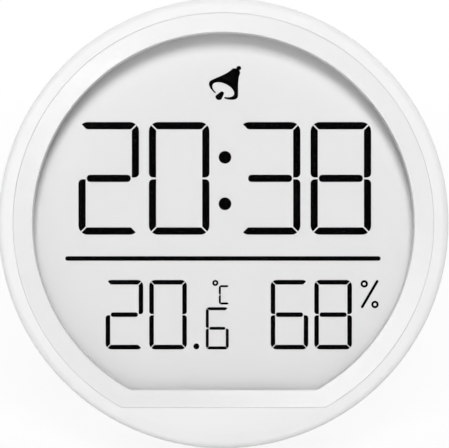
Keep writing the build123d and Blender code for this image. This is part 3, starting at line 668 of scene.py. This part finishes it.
METALS = {
    "contact_nickel": {"colour": (0.72, 0.70, 0.66), "roughness": 0.25},
    "ground_steel": {"colour": (0.6, 0.6, 0.61), "roughness": 0.3},
}
SCRATCH_SCALE, SPOT_SCALE = 3500.0, 300.0
SPOT_SHADE = 0.85
METAL_ROUGH_LOW, METAL_ROUGH_HIGH = 0.7, 1.3
SCRATCH_STRENGTH, SCRATCH_DEPTH = 0.6, 0.002 * MM


def metal(name, colour, roughness):
    """Plated or ground metal: fine directionless scratches in its roughness and bump."""
    material, shader, nodes, links, place = new_material(name)
    scratches = noise(nodes, links, place, SCRATCH_SCALE, detail=8.0, rough=0.7)
    spots = noise(nodes, links, place, SPOT_SCALE, detail=3.0)
    tone = mixed_colour(nodes, links, spots, colour, scaled(colour, SPOT_SHADE))
    links.new(tone, shader.inputs["Base Color"])
    rough = remap(
        nodes, links, scratches, NOISE_LOW, NOISE_HIGH,
        roughness * METAL_ROUGH_LOW, roughness * METAL_ROUGH_HIGH,
    )
    links.new(rough, shader.inputs["Roughness"])
    bump_shader(nodes, links, shader, scratches, SCRATCH_DEPTH, SCRATCH_STRENGTH)
    shader.inputs["Metallic"].default_value = 1.0
    return material


# Clear sheets: a dark body colour, how much body is seen square on, and the roughness between
# smears
CLEAR_SHEETS = {
    "lens_clear": {"dark": grey(0.01), "body": 0.02, "roughness": 0.06},
    "display_glass": {"dark": (0.1, 0.11, 0.11), "body": 0.25, "roughness": 0.05},
}
GRAZING_POWER, GRAZING_BODY = 4.0, 0.9
SMEAR_SCALE, SMEAR_LOW, SMEAR_HIGH = 160.0, 0.3, 0.8
SMEAR_ROUGHNESS, SMEAR_LIGHTENING = 1.8, 1.2


def clear_sheet(name, dark, body, roughness):
    """Clear sheet: nearly no body, its gloss growing towards grazing views."""
    material, shader, nodes, links, place = new_material(name)
    facing = node(nodes, "ShaderNodeLayerWeight").outputs["Facing"]
    grazing = calc(nodes, links, "POWER", facing, GRAZING_POWER)
    smears = noise(nodes, links, place, SMEAR_SCALE, detail=5.0, rough=0.6)
    rough = remap(
        nodes, links, smears, SMEAR_LOW, SMEAR_HIGH, roughness, roughness * SMEAR_ROUGHNESS
    )
    links.new(rough, shader.inputs["Roughness"])
    alpha = remap(nodes, links, grazing, 0.0, 1.0, body, GRAZING_BODY)
    links.new(alpha, shader.inputs["Alpha"])
    tone = mixed_colour(nodes, links, smears, dark, scaled(dark, SMEAR_LIGHTENING))
    links.new(tone, shader.inputs["Base Color"])
    return material


SLEEVE_HALF = 21.2 * MM
SLEEVE_SCALE = 500.0
SLEEVE_TONES = ((0.05, 0.06, 0.08), (0.07, 0.08, 0.1))
SLEEVE_ROUGH_LOW, SLEEVE_ROUGH_HIGH = 0.28, 0.4
BARE_COLOUR = (0.62, 0.61, 0.58)


def cell_wrap(cell):
    """Printed sleeve with bare metal ends: a band by distance from the cell's middle."""
    material, shader, nodes, links, place = new_material(f"{cell}_wrap")
    start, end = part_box(cell)
    split = node(nodes, "ShaderNodeSeparateXYZ")
    links.new(place, split.inputs["Vector"])
    offset = calc(nodes, links, "SUBTRACT", split.outputs["X"], (start[0] + end[0]) / 2)
    along = calc(nodes, links, "ABSOLUTE", offset)
    bare = calc(nodes, links, "GREATER_THAN", along, SLEEVE_HALF)
    sleeve = noise(nodes, links, place, SLEEVE_SCALE, detail=3.0)
    paint = mixed_colour(nodes, links, sleeve, *SLEEVE_TONES)
    links.new(mixed_colour(nodes, links, bare, paint, BARE_COLOUR), shader.inputs["Base Color"])
    links.new(bare, shader.inputs["Metallic"])
    rough = remap(
        nodes, links, sleeve, NOISE_LOW, NOISE_HIGH, SLEEVE_ROUGH_LOW, SLEEVE_ROUGH_HIGH
    )
    links.new(rough, shader.inputs["Roughness"])
    return material


materials = {}
for make, table in ((plastic, PLASTICS), (metal, METALS), (clear_sheet, CLEAR_SHEETS)):
    for name, values in table.items():
        materials[name] = make(name, **values)
materials["bezel_white"] = turned_plastic("bezel_white")

NODES_IN = {
    "case_white": ("front_housing", "back_cover", "battery_door", "stand_leg"),
    "bezel_white": ("bezel_ring",),
    "lens_clear": ("lens",),
    "gasket_black": ("lens_gasket",),
    "display_grey": ("front_polarizer", "rear_reflector"),
    "display_glass": ("display_front_glass", "display_rear_glass"),
    "frame_white": ("display_frame",),
    "board_green": ("main_board",),
    "ground_steel": ("board_screws", "quartz_crystal", "stand_pin"),
    "contact_nickel": ("contact_positive", "contact_negative", "contact_bridge"),
    "pad_grey": ("stand_pad",),
    "button_grey": tuple(f"button_cap_{number}" for number in range(1, 5)),
    "part_black": (
        "contact_strip", "chip_blob", "board_passives", "buzzer", "climate_sensor",
        "switch_bodies", *(f"switch_plunger_{number}" for number in range(1, 5)),
    ),
}


def finish_with(piece, material):
    """The piece shows one material on all its faces."""
    piece.data.materials.clear()
    piece.data.materials.append(material)


for finish, names in NODES_IN.items():
    for name in names:
        finish_with(frame["nodes"][name], materials[finish])
for cell in ("cell_upper", "cell_lower"):
    finish_with(frame["nodes"][cell], cell_wrap(cell))
for sign in signs:
    finish_with(sign, materials["display_ink"])
for mark in marks:
    finish_with(mark, materials["print_grey"])
finish_with(door_arrow, materials["case_white"])

# Floor, white to the camera further off and lit softly near the clock, whose shadow it keeps
FLOOR_HALF = 3.0
FLOOR_GREY, FLOOR_ROUGHNESS = 0.88, 0.9
NEAR_SHARE = 0.9
SHADOW_REACH = 0.12
WHITE_REACH = 0.45


def floor():
    """Square sheet under the clock, its shader part light and part white for camera rays."""
    corners = [(-1, -1, 0), (1, -1, 0), (1, 1, 0), (-1, 1, 0)]
    sheet = new_object("floor", FLOOR_HALF * np.array(corners), [(0, 1, 2, 3)])
    material, shader, nodes, links, place = new_material("floor_white")
    shader.inputs["Base Color"].default_value = (*grey(FLOOR_GREY), 1.0)
    shader.inputs["Roughness"].default_value = FLOOR_ROUGHNESS
    shader.inputs["Specular IOR Level"].default_value = 0.0
    glow = node(nodes, "ShaderNodeEmission")
    away = node(nodes, "ShaderNodeVectorMath", operation="LENGTH")
    links.new(place, away.inputs[0])
    white = remap(nodes, links, away.outputs["Value"], SHADOW_REACH, WHITE_REACH, NEAR_SHARE)
    mix = node(nodes, "ShaderNodeMixShader")
    links.new(calc(nodes, links, "MULTIPLY", seen_share(nodes, links), white), mix.inputs["Fac"])
    links.new(shader.outputs["BSDF"], mix.inputs[1])
    links.new(glow.outputs["Emission"], mix.inputs[2])
    links.new(mix.outputs["Shader"], nodes["Material Output"].inputs["Surface"])
    finish_with(sheet, material)


floor()

# World: white where it is seen. As a light it comes from beside the clock, hardly from the front
# and more weakly from behind. Turns are cosines of the angle from the direction behind the face.
FRONT_LIGHT = 0.01
SIDE_LIGHT = 1.2
BEHIND_SHARE = 0.52
TURN_START, TURN_STOP, TURN_END = -0.15, 0.2, 0.8


def white_world():
    """World that is white where it is seen, and otherwise a light that depends on its side."""
    world = bpy.data.worlds.new("studio")
    bpy.context.scene.world = world
    world.use_nodes = True
    nodes, links = world.node_tree.nodes, world.node_tree.links
    background = nodes["Background"].inputs
    seen = seen_share(nodes, links)
    direction = node(nodes, "ShaderNodeTexCoord").outputs["Generated"]
    behind = dot_product(nodes, links, direction, BACK)
    rise = remap(nodes, links, behind, TURN_START, TURN_STOP, FRONT_LIGHT, SIDE_LIGHT)
    fall = remap(nodes, links, behind, TURN_STOP, TURN_END, 1.0, BEHIND_SHARE)
    light = calc(nodes, links, "MULTIPLY", rise, fall)
    unseen = calc(nodes, links, "MULTIPLY", light, calc(nodes, links, "SUBTRACT", 1.0, seen))
    background["Color"].default_value = (1.0, 1.0, 1.0, 1.0)
    links.new(calc(nodes, links, "ADD", seen, unseen), background["Strength"])


white_world()

# Lamps: azimuth round the face's axle and tilt from it in degrees, distance and size in metres
LAMPS = {
    "key": {"azimuth": 88.0, "tilt": 30.5, "away": 1.5, "size": 0.52, "watts": 16.1},
    "fill": {"azimuth": 235.0, "tilt": 6.0, "away": 1.5, "size": 0.4, "watts": 1.6},
    "side": {"azimuth": 190.0, "tilt": 48.0, "away": 1.2, "size": 0.28, "watts": 0.5},
}
GLOSS_LAMPS = {
    "gleam": {"azimuth": 132.0, "tilt": 25.0, "away": 0.6, "size": 0.24, "watts": 2.4},
    "low_gleam": {"azimuth": 236.0, "tilt": 33.0, "away": 0.6, "size": 0.24, "watts": 4.0},
}


def lamp(name, azimuth, tilt, away, size, watts, gloss):
    """Square lamp at an azimuth round the face's axle and a tilt from it, aimed at the face.

    A gloss lamp shows only in reflections, and the others only by the light they cast.
    """
    light = bpy.data.lights.new(name, "AREA")
    light.shape = "SQUARE"
    light.size = size
    light.energy = watts
    azimuth, tilt = np.radians(azimuth), np.radians(tilt)
    across = np.cos(azimuth) * RIGHT + np.sin(azimuth) * UP
    place = FACE + away * (np.sin(tilt) * across + np.cos(tilt) * FRONT)
    turn = Vector(FACE - place).normalized().to_track_quat("-Z", "Y").to_matrix().to_4x4()
    lamp_object = bpy.data.objects.new(name, light)
    lamp_object.matrix_world = Matrix.Translation(Vector(place)) @ turn
    lamp_object.visible_diffuse = not gloss
    lamp_object.visible_glossy = gloss
    bpy.context.scene.collection.objects.link(lamp_object)


for name, values in LAMPS.items():
    lamp(name, **values, gloss=False)
for name, values in GLOSS_LAMPS.items():
    lamp(name, **values, gloss=True)

# Camera, square on to the leaning face, a little beside and below its middle
CAMERA_AWAY = 0.335
LENS = 135.0
SENSOR = 36.0
CLIP_START = 0.01
BESIDE = 0.22 * MM
BELOW = 0.16 * MM

camera_data = bpy.data.cameras.new("camera")
camera_data.lens = LENS
camera_data.sensor_width = SENSOR
camera_data.clip_start = CLIP_START
camera = bpy.data.objects.new("camera", camera_data)
bpy.context.scene.collection.objects.link(camera)
rotation = Matrix((RIGHT, UP, FRONT)).transposed().to_4x4()
camera_place = FACE + CAMERA_AWAY * FRONT + BESIDE * RIGHT - BELOW * UP
camera.matrix_world = Matrix.Translation(Vector(camera_place)) @ rotation
bpy.context.scene.camera = camera
bpy.context.scene.view_settings.view_transform = "Standard"
